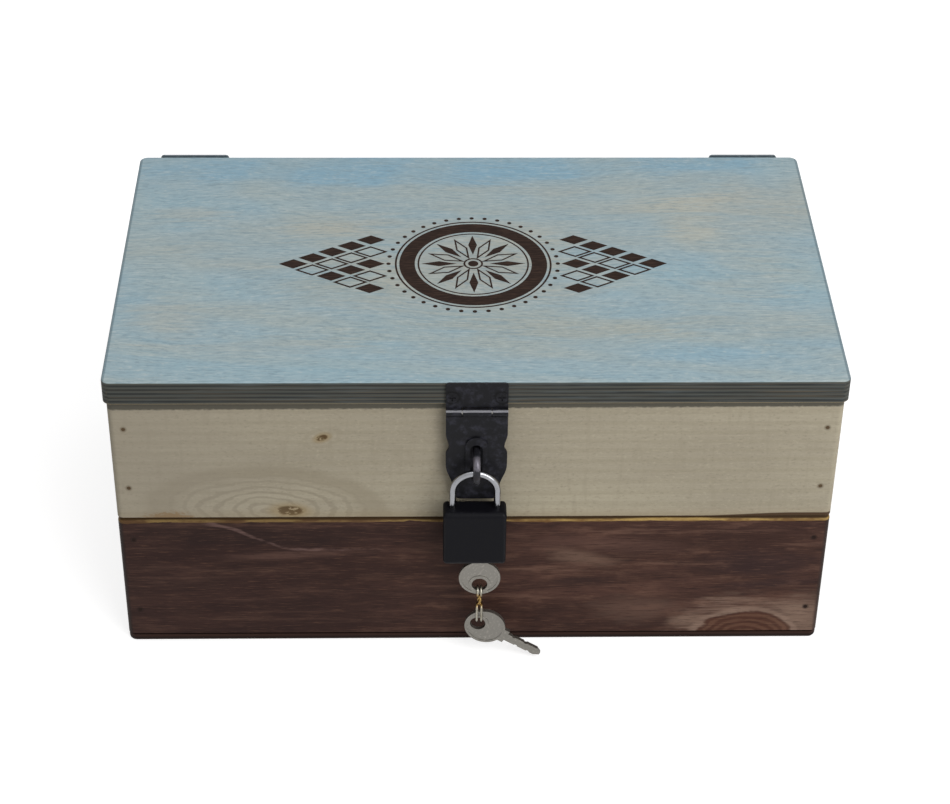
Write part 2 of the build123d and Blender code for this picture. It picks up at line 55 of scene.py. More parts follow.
# %% Shared sizes
MM = 0.001
seam_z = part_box("upper_front_board")[0][2]
carcass_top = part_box("upper_front_board")[1][2]
lid_low, lid_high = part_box("lid_panel")
front_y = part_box("upper_front_board")[0][1]
half_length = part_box("upper_front_board")[1][0]
half_depth = -front_y
board_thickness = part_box("lower_front_board")[1][1] - front_y
bottom_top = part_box("bottom_panel")[1][2]
upper_nails = (carcass_top - 14.2 * MM, seam_z + 16.2 * MM)
lower_nails = (seam_z - 11.5 * MM, bottom_top + 14.2 * MM)
print("seam at", seam_z, "lid from", lid_low[2], "to", lid_high[2])

# %% [markdown]
# ## The camera
#
# The box is seen from in front and above, through a long lens that keeps the upright edges
# nearly parallel. The turn is built from yaw, pitch and roll, because three plain
# angles are easier to correct than a point to look at.

# %% Camera
def place_camera(place, yaw, pitch, roll, lens):
    """Adds the scene's camera at a place in metres, with its angles in degrees and lens in mm."""
    data = bpy.data.cameras.new("product_camera")
    data.lens = lens
    data.sensor_width = 36
    camera = bpy.data.objects.new("product_camera", data)
    bpy.context.scene.collection.objects.link(camera)
    turn = Matrix.Rotation(math.radians(-yaw), 4, "Z")
    turn @= Matrix.Rotation(math.radians(90 - pitch), 4, "X")
    turn @= Matrix.Rotation(math.radians(roll), 4, "Z")
    camera.matrix_world = Matrix.Translation(place) @ turn
    bpy.context.scene.camera = camera
    return camera


camera = place_camera((-0.0226, -0.8528, 0.6964), yaw=1.63, pitch=36.56, roll=0.82, lens=90.0)
print("camera", camera.matrix_world.translation)

# %% [markdown]
# ## Colours and shader nodes
#
# A colour is picked on a screen, as an sRGB hex value, but a shader works with linear
# light, so one function turns the one into the other. One more function adds a node, sets
# its values, links its sockets and hands back an output. The small functions after it give
# names to the few things that every finish does: reckon, mix, tint, and fade over a span.

# %% Colour and node helpers
def linear(colour):
    """The linear RGBA of an sRGB hex colour."""
    def channel(value):
        value /= 255
        return value / 12.92 if value <= 0.04045 else ((value + 0.055) / 1.055) ** 2.4
    number = int(colour.lstrip("#"), 16)
    return (channel(number >> 16), channel(number >> 8 & 255), channel(number & 255), 1.0)


def add(tree, kind, inputs=None, out=0, stops=None, **settings):
    """Adds a node, sets its values, links its sockets and returns one of its outputs."""
    node = tree.nodes.new("ShaderNode" + kind)
    for name, value in settings.items():
        setattr(node, name, value)
    for socket, value in (inputs or {}).items():
        if isinstance(value, bpy.types.NodeSocket):
            tree.links.new(value, node.inputs[socket])
        else:
            node.inputs[socket].default_value = value
    if stops:
        points = node.color_ramp.elements
        points[0].position, points[1].position = stops[0][0], stops[-1][0]
        for position, _ in stops[1:-1]:
            points.new(position)
        for point, (_, colour) in zip(points, stops):
            point.color = linear(colour)
    return node.outputs[out]


def calc(tree, operation, *values, clamp=False):
    """One step of reckoning with numbers and with outputs of other nodes."""
    return add(tree, "Math", dict(enumerate(values)), operation=operation, use_clamp=clamp)


def measure(tree, operation, *vectors):
    """One plain number taken from vectors, such as a length or a distance."""
    return add(tree, "VectorMath", dict(enumerate(vectors)), "Value", operation=operation)


def axes(tree, place):
    """The x, the y and the z of a place."""
    return add(tree, "SeparateXYZ", {0: place}).node.outputs


def folded(tree, place):
    """A place with its minus signs dropped, so that both halves of the box fall together."""
    return add(tree, "VectorMath", {0: place}, operation="ABSOLUTE")


def new_finish(name, **values):
    """A new material, its node tree and its shader, with plain values set on the shader."""
    material = bpy.data.materials.new(name)
    material.use_nodes = True
    shader = material.node_tree.nodes["Principled BSDF"]
    for socket, value in values.items():
        shader.inputs[socket.replace("_", " ")].default_value = value
    return material, material.node_tree, shader


def mix(tree, factor, low, high):
    """Mixes two colours, each a hex value or an output of another node."""
    low, high = [linear(c) if isinstance(c, str) else c for c in (low, high)]
    return add(tree, "Mix", {0: factor, 6: low, 7: high}, 2, data_type="RGBA")


def tint(tree, colour, over, mask, amount=1.0):
    """Lays a second colour over a first one by a mask, up to an amount."""
    return mix(tree, calc(tree, "MULTIPLY", mask, amount), colour, over)


def span(tree, value, low, high, smooth=True):
    """0 where a value is below low, 1 above high, and a ramp between."""
    kind = "SMOOTHSTEP" if smooth else "LINEAR"
    return add(tree, "MapRange", {0: value, 1: low, 2: high}, interpolation_type=kind)


def both(tree, first, second):
    """The product of two masks, which is 1 only where both are."""
    return calc(tree, "MULTIPLY", first, second)


def tints(tree, colour, rows):
    """Lays tints in turn; a row is a value, the two ends of its span, a colour and an amount."""
    for value, low, high, over, amount in rows:
        colour = tint(tree, colour, over, span(tree, value, low, high), amount)
    return colour


def coat(tree, shader, colour, relief, strength, depth):
    """Gives a shader its colour, and bumps where the relief is high, depth deep in metres."""
    tree.links.new(colour, shader.inputs["Base Color"])
    bumps = add(tree, "Bump", {"Height": relief, "Strength": strength, "Distance": depth})
    tree.links.new(bumps, shader.inputs["Normal"])


print("walnut brown in linear light:", linear("#3c2a26"))

# %% [markdown]
# ## The floor and the room
#
# The box stands on a plain pale floor in an even white room. The floor's own colour bounces
# some light back on the front boards. To the camera, and in reflections, the floor is lifted
# to white by a little light of its own, and the shadow of the box stays on it. Far from the
# lamps it is lifted more, so that it runs into the white room with no horizon.

# %% Floor and room
def seen_directly(tree):
    """1 for a ray from the camera, a reflection or a transmission."""
    path = tree.nodes.new("ShaderNodeLightPath").outputs
    some = calc(tree, "MAXIMUM", path["Is Camera Ray"], path["Is Glossy Ray"])
    return calc(tree, "MAXIMUM", some, path["Is Transmission Ray"])


floor_reflectance = 0.50
floor_lift = 0.68
room_strength = 0.50
# The lift starts to grow at the first distance from the box, and is full at the second.
near_floor = 0.6
far_floor = 2.2

bpy.ops.mesh.primitive_plane_add(size=8.0)
floor = bpy.context.object
floor.name = "floor"
floor_paint, tree, _ = new_finish("pale matt floor paint")
paint = add(tree, "BsdfDiffuse", {"Color": (floor_reflectance,) * 3 + (1.0,)})
reach = measure(tree, "LENGTH", add(tree, "TexCoord", out="Object"))
lift = span(tree, reach, near_floor, far_floor)
lift.node.inputs["To Min"].default_value = floor_lift
lift.node.inputs["To Max"].default_value = 1 - floor_reflectance * room_strength
lift = calc(tree, "MULTIPLY", seen_directly(tree), lift)
glow = add(tree, "Emission", {"Strength": lift})
surface = add(tree, "AddShader", {0: paint, 1: glow})
tree.links.new(surface, tree.nodes["Material Output"].inputs["Surface"])
floor.data.materials.append(floor_paint)

room = bpy.data.worlds.new("white room")
room.use_nodes = True
bpy.context.scene.world = room
strength = span(room.node_tree, seen_directly(room.node_tree), 0.0, 1.0, smooth=False)
strength.node.inputs["To Min"].default_value = room_strength
background = room.node_tree.nodes["Background"]
room.node_tree.links.new(strength, background.inputs["Strength"])
background.inputs["Color"].default_value = (1, 1, 1, 1)
bpy.context.scene.view_settings.view_transform = "Standard"
print("floor and room ready")

# %% [markdown]
# ## The lamps
#
# A lamp is a square sheet of light: the larger it is and the nearer it stands, the softer the
# shadows. A large one at the front right does most of the work, a small one low on the right
# draws a sheen on the lock, and one overhead opens the shadows on the lid.

# %% Soft lamps
def soft_lamp(name, place, target, size, watts):
    """A square lamp of a size in metres at a place, turned to a target."""
    data = bpy.data.lights.new(name, "AREA")
    data.size = size
    data.energy = watts
    lamp = bpy.data.objects.new(name, data)
    bpy.context.scene.collection.objects.link(lamp)
    aim = (Vector(target) - Vector(place)).to_track_quat("-Z", "Y")
    lamp.matrix_world = Matrix.Translation(place) @ aim.to_matrix().to_4x4()
    return lamp


lamps = [
    soft_lamp("window_lamp", (0.9, -1.3, 1.5), (0, 0, 0.08), 1.2, 22.0),
    soft_lamp("side_lamp", (0.75, -0.75, 0.4), (0.08, -0.09, 0.08), 0.5, 3.4),
    soft_lamp("overhead_lamp", (-0.3, 0.3, 1.8), (0, 0, 0.1), 1.4, 8.0),
]
print("lamps:", [lamp.name for lamp in lamps])

# %% [markdown]
# ## How the wood is drawn
#
# A board is a slice of a tree, so its marks are the growth rings of that tree, cut where the
# board lies. The rings are drawn as tubes about a pith line beside the board, a little tilted,
# which gives long arches on the faces and arcs on the end grain in one go. Painted stripes
# would need a new drawing for each face. Fine fibres and slow clouds of colour come on top.
# Every pattern is sized in millimetres and reads the object's own coordinates, so it stays in
# the wood when the lid opens.

# %% Wood helpers
# A wave texture of scale 1 draws one ring in each of these lengths.
RING_PERIOD = math.pi / 10


def grain_place(tree, along_y):
    """Object coordinates turned so that the grain runs along the first axis."""
    place = add(tree, "TexCoord", out="Object")
    turn = math.radians(90) if along_y else 0.0
    return add(tree, "Mapping", {"Vector": place, "Rotation": (0, 0, turn)})


def stretched_noise(tree, place, length, width, detail=3.0, rough=0.6, seed=(0, 0, 0)):
    """Noise whose marks are about length along the grain and width across it, in metres."""
    spot = add(tree, "Mapping", {
        "Vector": place, "Location": seed, "Scale": (length, width, width)}, vector_type="TEXTURE")
    return add(tree, "TexNoise", {
        "Vector": spot, "Scale": 1.0, "Detail": detail, "Roughness": rough}, "Fac")


def growth_rings(tree, place, pith, tilt, spacing, waver, stretch=14.0):
    """Rings about a tilted pith line, spacing apart in metres, waved by waver."""
    spot = add(tree, "Mapping", {
        "Vector": place, "Location": pith, "Rotation": tilt, "Scale": (stretch, 1, 1)},
        vector_type="TEXTURE")
    return add(tree, "TexWave", {
        "Vector": spot, "Scale": RING_PERIOD / spacing, "Distortion": waver, "Detail": 2.0,
        "Detail Scale": 0.35, "Detail Roughness": 0.5},
        "Fac", wave_type="RINGS", rings_direction="X", wave_profile="SIN")


def oval(tree, place, centre, radii, lean=0.0, about=1):
    """How far a point is from a centre, as a share of the radii of an oval leaned about an axis."""
    turn = [0.0, 0.0, 0.0]
    turn[about] = math.radians(lean)
    spot = add(tree, "Mapping", {
        "Vector": place, "Location": centre, "Rotation": turn, "Scale": radii},
        vector_type="TEXTURE")
    return measure(tree, "LENGTH", spot)


def bent_by(tree, value, wobble, amount):
    """A distance made uneven by a noise, which counts from its own middle value."""
    away = calc(tree, "SUBTRACT", wobble, 0.5)
    return calc(tree, "MULTIPLY_ADD", away, amount, value)


def bands(tree, value, count):
    """A wave from -1 to 1 that comes round count times while the value grows by 1."""
    turns = calc(tree, "MULTIPLY", value, 2 * math.pi * count)
    return calc(tree, "SINE", turns)


def nail_stains(tree, place, heights):
    """1 in the dark ring of iron stain round each nail of the front and back boards."""
    corner = folded(tree, place)
    stain = 0.0
    for height in heights:
        head = (half_length - board_thickness / 2, half_depth, height)
        near = span(tree, measure(tree, "DISTANCE", corner, head), 1.9 * MM, 0.8 * MM)
        stain = calc(tree, "MAXIMUM", near, stain)
    return stain


def end_grain(tree, place):
    """1 on the end faces of the front and back boards, which drink more of a stain."""
    out = axes(tree, folded(tree, place))[0]
    return span(tree, out, half_length - 0.5 * MM, half_length - 0.2 * MM)


def end_arcs(tree, place, colour, rings, early, late, amount):
    """Tints those end faces in the two colours of a growth ring, which shows as an arc."""
    arcs = mix(tree, span(tree, rings, 0.2, 0.8), early, late)
    return tint(tree, colour, arcs, end_grain(tree, place), amount)


# %% [markdown]
# ## The pale upper boards
#
# The upper row is planed limewood under a thin grey wash. Lime has hardly any figure: faint
# rings, a silky fibre, and here and there a small brown knot that the rings bend round. The
# front board has two such knots, so they are placed one by one, with arches that fade as they
# leave the larger one. The stain of the lower row has crept up at its foot. It also has painted
# shade: a dark line along its top, the shadow under the overhang of the lid, and a greyer left
# end, away from the light.

# %% Pale board finish
def knot_marks(tree, place, colour, centre, pull, reach, heart, lean, rings, strength):
    """Lays a small brown knot on a colour, and the arches of the rings that pass it.

    The heart is the knot's own radii. The middle of the arches is pulled along the board
    from the middle of the knot, and reach is how far they go.
    """
    middle = (centre[0] + pull, centre[1], centre[2])
    wobble = stretched_noise(tree, place, 16 * MM, 7 * MM, 3.0, 0.6)
    away = bent_by(tree, oval(tree, place, middle, reach, lean), wobble, 0.20)
    late = both(tree, span(tree, away, 0.62, 0.84), span(tree, away, 1.06, 0.92))
    colour = tint(tree, colour, "#857c69", late, strength)
    arches = span(tree, bands(tree, away, rings), 0.1, 0.9)
    shown = both(tree, arches, span(tree, away, 1.0, 0.50))
    colour = tint(tree, colour, "#7f7665", shown, strength)
    near = oval(tree, place, centre, heart, lean)
    colour = tint(tree, colour, "#8c7750", span(tree, near, 2.2, 0.8), 0.6)
    broken = span(tree, stretched_noise(tree, place, 2.6 * MM, 1.5 * MM, 2.0), 0.36, 0.48)
    core = both(tree, broken, span(tree, near, 1.15, 0.75))
    return tint(tree, colour, "#4a371d", core, 0.95)


def front_stain_and_shade(tree, place, colour, fleck):
    """Lays the crept stain of the pale front board on a colour, and its painted shade: a greyer
    left end and the shadow line under the lid.
    """
    along, inwards, height = axes(tree, place)
    # Painted shade: the board turns greyer toward its left end, away from the light.
    colour = tint(tree, colour, "#877f72", span(tree, along, -60 * MM, -140 * MM), 0.45)
    crept = oval(tree, place, (-127 * MM, front_y, seam_z), (12 * MM, 1.0, 4 * MM))
    crept = bent_by(tree, crept, fleck, 1.6)
    colour = tint(tree, colour, "#7a5c36", span(tree, crept, 1.1, 0.5), 0.6)
    # A painted shadow line under the overhang of the lid, a little deeper at the left end, and
    # ragged.
    level = calc(tree, "MULTIPLY_ADD", along, -1 / 300, height)
    level = calc(tree, "MULTIPLY_ADD", fleck, 1.2 * MM, level)
    high = span(tree, level, carcass_top - 3.8 * MM, carcass_top - 2.8 * MM)
    outside = span(tree, inwards, front_y + 2.4 * MM, front_y + 1.6 * MM)
    return tint(tree, colour, "#45433b", both(tree, high, outside), 0.92)


def pale_board(name, along_y, pith, knots=()):
    """Grey-washed limewood. With knots, as arguments for knot_marks, it is the front board."""
    material, tree, shader = new_finish(name, Roughness=0.62, Specular_IOR_Level=0.2)
    place = add(tree, "TexCoord", out="Object")
    grain = grain_place(tree, along_y)
    cloud = stretched_noise(tree, grain, 120 * MM, 48 * MM, 2.0)
    fibre = stretched_noise(tree, grain, 16 * MM, 0.7 * MM, 3.0, 0.6)
    fleck = stretched_noise(tree, grain, 1.7 * MM, 0.9 * MM, 3.0, 0.6, (0.3, 0.1, 0.2))
    planed = stretched_noise(tree, grain, 3.5 * MM, 22 * MM, 2.0, 0.5, (0.6, 0.2, 0.2))
    tilt = (0, math.radians(1.6), math.radians(-2.2))
    rings = growth_rings(tree, grain, pith, tilt, 4.5 * MM, 7.0)

    colour = add(tree, "ValToRGB", {0: cloud}, stops=[
        (0.30, "#938b7a"), (0.50, "#9a9280"), (0.72, "#a29a86")])
    colour = tints(tree, colour, [
        (rings, 0.35, 1.00, "#8c846f", 0.30),
        (fibre, 0.50, 0.72, "#8a8270", 0.26), (fibre, 0.46, 0.28, "#aaa28d", 0.26),
        (fleck, 0.54, 0.72, "#7b7362", 0.46), (fleck, 0.44, 0.28, "#aea691", 0.36),
        (planed, 0.54, 0.70, "#8b8371", 0.28),
    ])
    for knot in knots:
        colour = knot_marks(tree, place, colour, *knot)

    # The board is a little warmer just above the seam.
    along, _, height = axes(tree, place)
    colour = tint(tree, colour, "#8f7650", span(tree, height, seam_z + 7 * MM, seam_z), 0.2)
    if knots:
        colour = front_stain_and_shade(tree, place, colour, fleck)
        # On the front face the dark line at the foot grows taller toward the right end.
        right = span(tree, along, 92 * MM, 134 * MM)
        right = calc(tree, "SUBTRACT", right, end_grain(tree, place), clamp=True)
        height = calc(tree, "MULTIPLY_ADD", right, -1.5 * MM, height)
    # Painted shade: a dark line along the foot, where the bevel faces down into the seam.
    seam_shade = span(tree, height, seam_z + 0.9 * MM, seam_z + 0.3 * MM)
    colour = tint(tree, colour, "#3f2d1b", seam_shade)
    if not along_y:
        colour = end_arcs(tree, place, colour, rings, "#857b67", "#716855", 0.5)
    colour = tint(tree, colour, "#5a4c38", nail_stains(tree, place, upper_nails), 0.6)
    coat(tree, shader, colour, fibre, 0.4, 0.06 * MM)
    return material


# Each knot: its place, the pull and the reach of its arches, the radii of its heart, its
# lean, how many arches it has and how strong they are.
front_knots = [
    ((-77 * MM, front_y, 72 * MM), -9 * MM, (52 * MM, 1.0, 24 * MM),
     (5.6 * MM, 1.0, 2.6 * MM), 3.0, 8, 0.5),
    ((-62.7 * MM, front_y, 110 * MM), 0.0, (9 * MM, 1.0, 5 * MM),
     (2.5 * MM, 1.0, 1.5 * MM), -22.0, 3, 0.2),
]
pale_front = pale_board("grey-washed limewood front", False, (0, 0.02, -0.055), front_knots)
pale_long = pale_board("grey-washed limewood long", False, (0, -0.03, 0.02))
pale_short = pale_board("grey-washed limewood short", True, (0, 0.04, 0.03))


def dress(material, *names):
    """Gives each CAD node one finish in all its slots."""
    for name in names:
        slots = nodes[name].data.materials
        slots.clear()
        slots.append(material)


dress(pale_front, "upper_front_board")
dress(pale_long, "upper_back_board")
dress(pale_short, "upper_left_board", "upper_right_board")
print("pale boards dressed")

# %% [markdown]
# ## The dark lower boards
#
# The lower row is the same wood under a walnut water stain. The stain lies on the outer faces
# only, so the inner faces stay bare, and on the bevel at the seam it was sanded through to a
# honey colour. Where the grain is dense the stain takes less, which leaves pale veils round a
# core of fine arches, and where it pooled there are dark blots. The seam and the faces are
# found by their place, so one finish serves a whole board.

# %% Dark board finish
def outer_share(tree, place, half_x, half_y):
    """1 on the outer faces of a frame of boards and 0 on its inner faces."""
    x, y, _ = axes(tree, folded(tree, place))
    over_x, over_y = calc(tree, "SUBTRACT", x, half_x), calc(tree, "SUBTRACT", y, half_y)
    return span(tree, calc(tree, "MAXIMUM", over_x, over_y), 0.2 * MM, 0.6 * MM)


def bare_wood(tree, grain):
    """The colour of unfinished limewood or birch, for inner faces and undersides."""
    cloud = stretched_noise(tree, grain, 80 * MM, 22 * MM, 3.0)
    fibre = stretched_noise(tree, grain, 30 * MM, 0.6 * MM, 4.0, 0.7, (0.2, 0.4, 0.1))
    colour = add(tree, "ValToRGB", {0: cloud}, stops=[
        (0.3, "#a8946f"), (0.5, "#b5a17c"), (0.72, "#c0ad89")])
    return tints(tree, colour, [
        (fibre, 0.46, 0.28, "#c9b898", 0.35), (fibre, 0.50, 0.70, "#93794f", 0.50)])


def veil(tree, colour, away, wobble, streak):
    """Lays a torn pale rim, a thin line inside it and a core of fine arches on a colour."""
    ragged, even = bent_by(tree, away, wobble, 0.7), bent_by(tree, away, wobble, 0.16)
    rim = both(tree, span(tree, ragged, 0.56, 0.70), span(tree, ragged, 1.10, 0.78))
    torn = both(tree, rim, span(tree, streak, 0.32, 0.60))
    colour = tint(tree, colour, "#836c5e", torn, 0.62)
    thin = both(tree, span(tree, even, 0.58, 0.62), span(tree, even, 0.72, 0.64))
    colour = tint(tree, colour, "#937b6c", thin, 0.5)
    core = mix(tree, span(tree, bands(tree, even, 10), -0.8, 0.9), "#472b20", "#5c3f31")
    return tint(tree, colour, core, span(tree, even, 0.62, 0.56), 0.85)


def scar_line(tree, along, height, wobble, blot):
    """1 on a thin scar that falls from the seam near the left end, and breaks up as it goes."""
    path = add(tree, "MapRange", {0: along, 1: -112 * MM, 2: -74 * MM, 3: 65 * MM, 4: 51 * MM},
               interpolation_type="SMOOTHSTEP")
    off = calc(tree, "SUBTRACT", height, bent_by(tree, path, wobble, 3 * MM))
    thin = span(tree, calc(tree, "ABSOLUTE", off), 1.2 * MM, 0.3 * MM)
    start, end = span(tree, along, -116 * MM, -108 * MM), span(tree, along, -30 * MM, -62 * MM)
    broken = both(tree, both(tree, start, end), span(tree, blot, 0.36, 0.56))
    return both(tree, thin, broken)


def dark_board(name, along_y, pith, veils=(), blots=(), scar=False):
    """Walnut-stained limewood, with pale arched veils, blots and a scar placed one by one."""
    material, tree, shader = new_finish(name, Roughness=0.55, Specular_IOR_Level=0.12)
    place = add(tree, "TexCoord", out="Object")
    along, _, height = axes(tree, place)
    grain = grain_place(tree, along_y)
    cloud = stretched_noise(tree, grain, 80 * MM, 24 * MM, 3.0, 0.6, (0.7, 0.2, 0.4))
    blot = stretched_noise(tree, grain, 16 * MM, 5 * MM, 4.0, 0.65, (0.2, 0.6, 0.1))
    streak = stretched_noise(tree, grain, 48 * MM, 2.6 * MM, 4.0, 0.62, (0.1, 0.5, 0.3))
    fibre = stretched_noise(tree, grain, 9 * MM, 0.6 * MM, 4.0, 0.7)
    tilt = (0, math.radians(-2.0), math.radians(2.4))
    rings = growth_rings(tree, grain, pith, tilt, 8 * MM, 7.0)

    colour = add(tree, "ValToRGB", {0: cloud}, stops=[
        (0.30, "#301d19"), (0.46, "#3b261f"), (0.58, "#452e27"), (0.74, "#533a30")])
    colour = tints(tree, colour, [
        (streak, 0.50, 0.72, "#6b5044", 0.60),
        (blot, 0.50, 0.72, "#654a3e", 0.55), (blot, 0.48, 0.28, "#251512", 0.65),
        (rings, 0.35, 1.00, "#2b1915", 0.50), (along, 50 * MM, -110 * MM, "#231413", 0.60),
    ])
    wobble = stretched_noise(tree, place, 15 * MM, 7 * MM, 3.0, 0.6)
    ragged = calc(tree, "ADD", blot, streak)
    for x, z, wide, high, lean, over, amount in blots:
        spot, reach = (x * MM, front_y, z * MM), (wide * MM, 1.0, high * MM)
        away = bent_by(tree, oval(tree, place, spot, reach, lean), ragged, 1.3)
        colour = tint(tree, colour, over, span(tree, away, 1.9, 0.9), amount)
    for centre, radii in veils:
        colour = veil(tree, colour, oval(tree, place, centre, radii), wobble, streak)
    if scar:
        colour = tint(tree, colour, "#6a534e", scar_line(tree, along, height, wobble, blot), 0.70)
    colour = tints(tree, colour, [
        (fibre, 0.50, 0.70, "#1f120e", 0.62), (fibre, 0.46, 0.30, "#624739", 0.42)])

    # Painted shade: the boards are darker on the upright corners of the box, where the rounded
    # edges turn away from the light.
    x, y, _ = axes(tree, folded(tree, place))
    corner_shade_x = span(tree, x, half_length - 2.6 * MM, half_length - 1.0 * MM)
    corner_shade_y = span(tree, y, half_depth - 2.6 * MM, half_depth - 1.0 * MM)
    colour = tint(tree, colour, "#1e1411", both(tree, corner_shade_x, corner_shade_y), 0.8)
    if not along_y:
        colour = end_arcs(tree, place, colour, rings, "#38261f", "#221511", 0.8)

    # The bevel at the seam is worn to honey. The dark line along the top of it is painted shade,
    # the shadow in the gap at the joint.
    worn = stretched_noise(tree, grain, 12 * MM, 5 * MM, 3.0, 0.6, (0.4, 0.4, 0.4))
    edge = bent_by(tree, height, worn, 2.6 * MM)
    honey = mix(tree, span(tree, worn, 0.36, 0.64), "#a58950", "#6a4e2c")
    rubbed = add(tree, "MapRange", {0: along, 1: -50 * MM, 2: 30 * MM, 3: 0.45, 4: 0.95})
    bevel = span(tree, edge, seam_z - 2.5 * MM, seam_z - 2.1 * MM)
    colour = tint(tree, colour, honey, both(tree, bevel, rubbed))
    edge = bent_by(tree, height, cloud, 2.4 * MM)
    colour = tint(tree, colour, "#38260f", span(tree, edge, seam_z - 1.6 * MM, seam_z - 1.1 * MM))
    colour = tint(tree, colour, "#1b100c", nail_stains(tree, place, lower_nails), 0.7)
    stained = outer_share(tree, place, half_length - board_thickness,
                          half_depth - board_thickness)
    colour = mix(tree, stained, bare_wood(tree, grain), colour)
    coat(tree, shader, colour, fibre, 0.5, 0.08 * MM)
    return material


# A veil is a centre and its radii. A blot is a place along and up the board and its two
# radii in millimetres, its lean in degrees, its colour and how strong it is.
front_veils = [((117 * MM, front_y, -1 * MM), (37 * MM, 1.0, 27 * MM))]
front_blots = [
    (-92, 60, 66, 7, 0, "#211412", 0.65), (-66, 18, 46, 15, 0, "#2a1a17", 0.45),
    (-78, 48, 30, 2.4, -3, "#5c443c", 0.55), (45, 46, 17, 4.5, 12, "#725a4d", 0.60),
    (58, 53, 34, 5, 4, "#5b423a", 0.40), (46, 33, 14, 3.2, 0, "#281917", 0.60),
    (120, 42, 28, 8, 0, "#2c1e1f", 0.50), (126, 31, 24, 2.6, -4, "#261819", 0.65),
    (70, 17, 20, 8, 0, "#604a40", 0.50), (141, 12, 13, 12, 0, "#806a5c", 0.60),
]
dark_front = dark_board("walnut-stained limewood front", False, (0, 0.03, 0.09), front_veils,
                        front_blots, True)
dark_long = dark_board("walnut-stained limewood long", False, (0, -0.03, -0.04))
dark_short = dark_board("walnut-stained limewood short", True, (0, 0.05, -0.03))
dress(dark_front, "lower_front_board")
dress(dark_long, "lower_back_board")
dress(dark_short, "lower_left_board", "lower_right_board")
print("dark boards dressed")

# %% [markdown]
# ## The plywood bottom
#
# The bottom is thin birch plywood. Its edge took the walnut stain with the lower boards, and
# its faces were left bare. A plywood edge shows its layers as fine stripes, because every
# other layer is cut across its fibres.

# %% Bottom panel finish
def ply_layers(tree, place, low, layer):
    """1 and 0 in turn for each layer of plywood, counted up from its lower face."""
    wander = stretched_noise(tree, place, 60 * MM, 30 * MM, 2.0)
    bent = calc(tree, "MULTIPLY_ADD", wander, 0.3 * MM, axes(tree, place)[2])
    turns = add(tree, "MapRange", {0: bent, 1: low, 2: low + layer, 4: math.pi}, clamp=False)
    return span(tree, calc(tree, "SINE", turns), -0.35, 0.35)


bottom_ply, tree, shader = new_finish("birch plywood with a stained edge", Roughness=0.65,
                                      Specular_IOR_Level=0.12)
place = add(tree, "TexCoord", out="Object")
bottom_layer = 1.2 * MM
layers = ply_layers(tree, place, 0.0, bottom_layer)
edge_colour = mix(tree, layers, "#1a0e0a", "#2d1b15")
facing = axes(tree, add(tree, "TexCoord", out="Normal"))[2]
flat = span(tree, calc(tree, "ABSOLUTE", facing), 0.85, 0.95)
rim = outer_share(tree, place, half_length - 2.4 * MM, half_depth - 2.4 * MM)
bare = calc(tree, "SUBTRACT", flat, rim, clamp=True)
colour = mix(tree, bare, edge_colour, bare_wood(tree, grain_place(tree, False)))
fuzz = stretched_noise(tree, place, 2 * MM, 0.5 * MM, 3.0)
coat(tree, shader, colour, fuzz, 0.4, 0.06 * MM)
dress(bottom_ply, "bottom_panel")
print("bottom panel dressed")

# %% [markdown]
# ## The blue-stained lid
#
# The lid is birch plywood. A peeled birch face has a broad, cloudy figure with short fine
# fibres along it, and the thin blue stain takes unevenly, so the face runs from sky grey to
# warm grey. Broad patches, bluer or warmer, are placed one by one and torn by the noise of the
# grain. The edge drank a dark stain, and its layers show as lighter stripes. The underside
# was left bare.

# %% Lid finish
lid_ply, tree, shader = new_finish("blue-stained birch plywood", Roughness=0.66,
                                   Specular_IOR_Level=0.2)
place = add(tree, "TexCoord", out="Object")
swell = stretched_noise(tree, place, 110 * MM, 60 * MM, 1.0, 0.5, (0.5, 0.2, 0.0))
swell = add(tree, "VectorMath", {0: add(tree, "CombineXYZ", {1: swell}), "Scale": 24 * MM},
            operation="SCALE")
grain = add(tree, "VectorMath", {0: place, 1: swell})
broad = stretched_noise(tree, grain, 130 * MM, 40 * MM, 2.0, 0.55, (0.25, 0.31, 0.0))
cloud = stretched_noise(tree, grain, 42 * MM, 8 * MM, 3.0, 0.6, (0.9, 0.4, 0.0))
streak = stretched_noise(tree, grain, 24 * MM, 1.6 * MM, 4.0, 0.62)
dash = stretched_noise(tree, grain, 5.5 * MM, 0.7 * MM, 3.0, 0.6, (0.3, 0.3, 0.3))
fleck = stretched_noise(tree, grain, 3 * MM, 1.2 * MM, 3.0, 0.6, (0.1, 0.7, 0.5))
tilt = (0, math.radians(-9), math.radians(5))
figure = growth_rings(tree, place, (0.10, 0.06, -0.10), tilt, 13 * MM, 9.0, 5.0)
torn = calc(tree, "ADD", cloud, streak)

colour = add(tree, "ValToRGB", {0: broad}, stops=[
    (0.30, "#869fa9"), (0.45, "#8c9fa6"), (0.56, "#909d9f"), (0.70, "#979d99")])


def lid_patches(colour, over, amount, patches):
    """Lays torn oval patches of a second colour on the lid, placed in millimetres."""
    for x, y, wide, deep, lean in patches:
        spot, reach = (x * MM, y * MM, lid_high[2]), (wide * MM, deep * MM, 1.0)
        away = bent_by(tree, oval(tree, place, spot, reach, lean, 2), torn, 1.5)
        near = span(tree, away, 2.0, 0.9)
        colour = tint(tree, colour, over, near, amount)
    return colour


